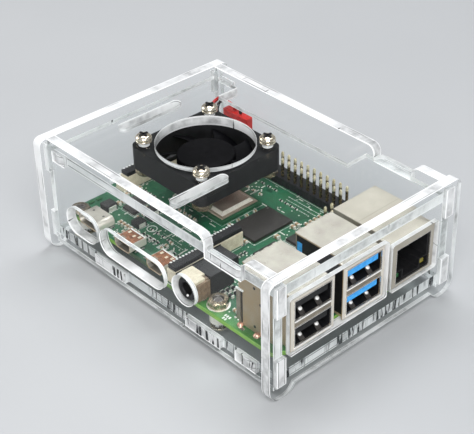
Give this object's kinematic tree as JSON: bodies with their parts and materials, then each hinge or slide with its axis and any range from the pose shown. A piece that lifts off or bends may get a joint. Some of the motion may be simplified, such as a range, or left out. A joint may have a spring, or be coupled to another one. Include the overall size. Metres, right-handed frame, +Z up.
{
  "type": "single board computer",
  "caption": "Credit-card-size computer board with stacked sockets and a pin header, in a clear tab-and-slot case with a small fan screwed under the lid.",
  "frame": {"origin": "centre of the case's footprint, in the plane of the four feet's undersides", "axes": "+Z up, +X from the memory-card end towards the USB and network sockets, +Y from the display sockets towards the pin header"},
  "size_m": [0.093, 0.0684, 0.036],
  "materials": {
    "clear_acrylic": "polished clear acrylic sheet with frosted laser-cut edges",
    "screw_steel": "bright nickel-plated steel",
    "white_nylon": "natural nylon",
    "black_plastic": "black moulded plastic",
    "shaft_steel": "ground steel",
    "ferrite": "sintered ferrite",
    "brass": "sintered bronze",
    "copper_winding": "enamelled copper wire",
    "red_plastic": "red moulded plastic",
    "black_rubber": "soft black insulation",
    "board_green": "green solder mask over traces",
    "chip_substrate": "dark green laminate",
    "nickel": "satin nickel-plated lid",
    "chip_black": "black epoxy package",
    "gold_pin": "gold flash plating",
    "socket_steel": "tin-plated sheet steel",
    "cream_plastic": "cream high-temperature plastic",
    "blue_plastic": "bright blue plastic",
    "light_pipe": "translucent light pipe",
    "ceramic": "tan ceramic with tinned ends",
    "solder": "bright solder"
  },
  "bodies": {
    "board_and_case": {"base_plate": "clear_acrylic", "lid_plate": "clear_acrylic", "front_plate": "clear_acrylic", "back_plate": "clear_acrylic", "card_end_plate": "clear_acrylic", "usb_end_plate": "clear_acrylic", "board_screws": "screw_steel", "board_nuts": "screw_steel", "board_spacers": "white_nylon", "fan_frame": "black_plastic", "fan_bearing": "brass", "fan_stator": "copper_winding", "fan_screws": "screw_steel", "fan_nuts": "screw_steel", "fan_lead_red": "red_plastic", "fan_lead_black": "black_rubber", "lead_plug": "red_plastic", "pcb": "board_green", "soc_substrate": "chip_substrate", "soc_heat_spreader": "nickel", "ram_chip": "chip_black", "usb_controller": "chip_black", "ethernet_phy": "chip_black", "power_chip": "chip_black", "wireless_can": "nickel", "gpio_header_base": "black_plastic", "gpio_pins": "gold_pin", "poe_header_base": "black_plastic", "poe_pins": "gold_pin", "usb_c_shell": "socket_steel", "usb_c_tongue": "black_plastic", "video_0_shell": "socket_steel", "video_0_tongue": "black_plastic", "video_1_shell": "socket_steel", "video_1_tongue": "black_plastic", "audio_jack_housing": "cream_plastic", "audio_jack_rear": "black_plastic", "camera_socket": "cream_plastic", "display_socket": "cream_plastic", "usb2_shell": "socket_steel", "usb2_tongues": "black_plastic", "usb3_shell": "socket_steel", "usb3_tongues": "blue_plastic", "usb_contacts": "gold_pin", "ethernet_shell": "socket_steel", "ethernet_insert": "black_plastic", "ethernet_lights": "light_pipe", "card_socket": "socket_steel", "inductors": "ferrite", "capacitors": "ceramic", "resistors": "chip_black", "crystals": "nickel", "status_lights": "light_pipe", "solder_tails": "solder"},
    "fan_wheel": {"fan_rotor": "black_plastic", "fan_shaft": "shaft_steel", "fan_magnet": "ferrite"},
    "camera_latch": {"camera_latch": "black_plastic"},
    "display_latch": {"display_latch": "black_plastic"}
  },
  "joints": [
    {"name": "fan_spin", "type": "hinge", "parent": "board_and_case", "child": "fan_wheel", "pos_m": [-0.01665, 0.0018, 0.0265], "axis": [0, 0, 1], "continuous": true},
    {"name": "camera_latch_lift", "type": "slide", "parent": "board_and_case", "child": "camera_latch", "axis": [0, 0, 1], "range_m": [0, 0.0012]},
    {"name": "display_latch_lift", "type": "slide", "parent": "board_and_case", "child": "display_latch", "axis": [0, 0, 1], "range_m": [0, 0.0012]}
  ]
}
